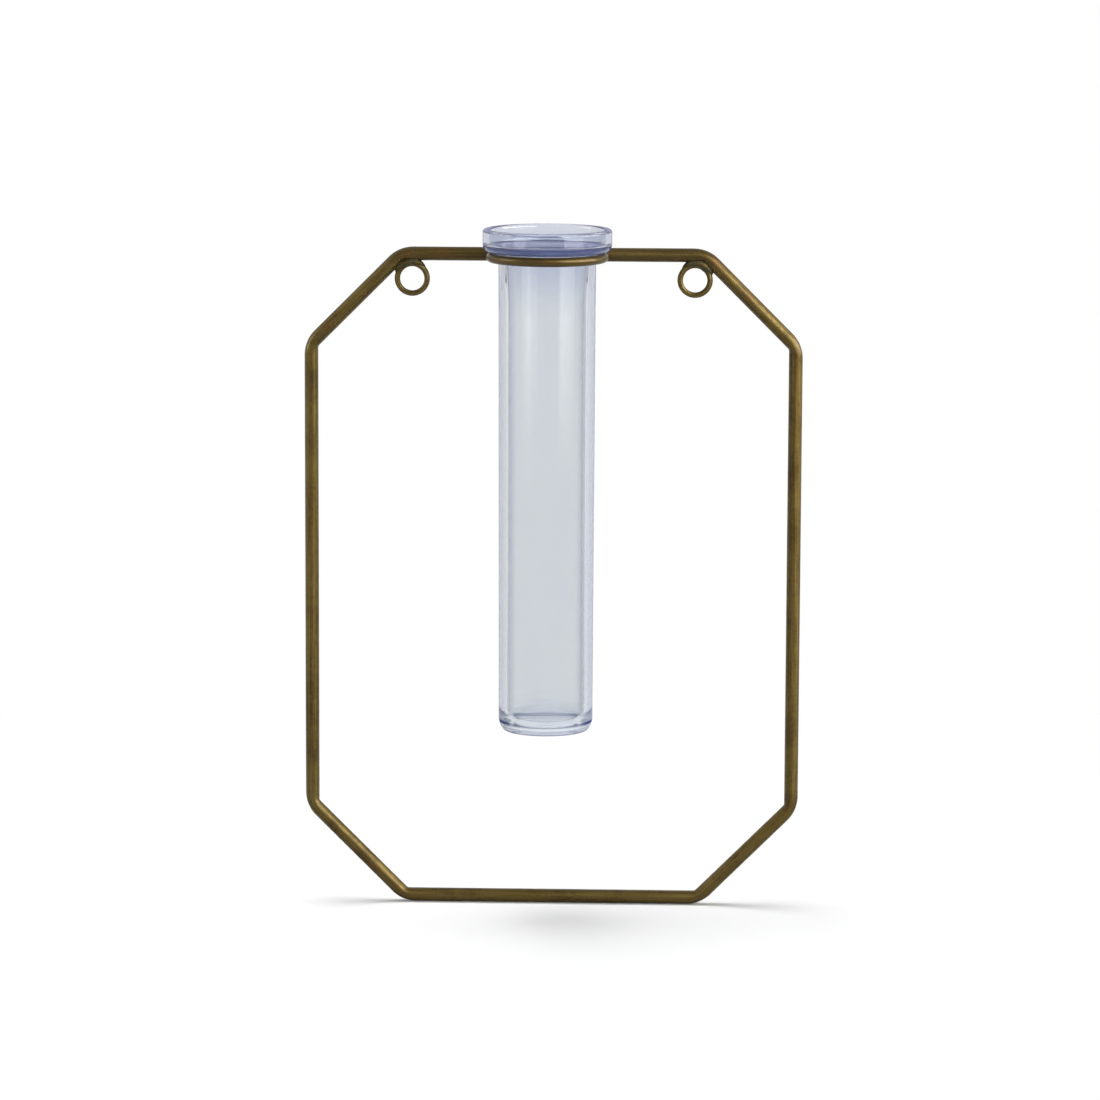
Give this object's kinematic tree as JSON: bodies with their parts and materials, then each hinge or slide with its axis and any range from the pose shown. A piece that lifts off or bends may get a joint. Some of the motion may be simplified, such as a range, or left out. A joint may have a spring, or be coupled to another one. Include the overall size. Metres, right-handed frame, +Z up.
{
  "type": "hanging wall vase",
  "caption": "Wall vase: a glass tube with a collar hangs in a wire ring on an octagonal brass rod frame, which hangs from two eyes.",
  "frame": {"origin": "midway between the centres of the two hanging eyes, in the frame's middle plane", "axes": "+X to the right as seen from the room, +Y into the wall, +Z up along the tube's axis and the frame's uprights"},
  "size_m": [0.152, 0.042, 0.2108],
  "materials": {
    "antique_brass": "satin antique brass, brushed along the rod",
    "braze": "dull darkened braze",
    "lilac_glass": "clear blown glass with a pale blue-violet tint"
  },
  "bodies": {
    "frame": {"octagon_frame": "antique_brass", "tube_ring": "antique_brass", "ring_bead": "braze", "left_eye": "antique_brass", "left_eye_bead": "braze", "right_eye": "antique_brass", "right_eye_bead": "braze"},
    "tube": {"glass_tube": "lilac_glass"}
  },
  "joints": [
    {"name": "tube_lift", "type": "slide", "parent": "frame", "child": "tube", "axis": [0, 0, 1], "range_m": [0, 0.16]}
  ]
}
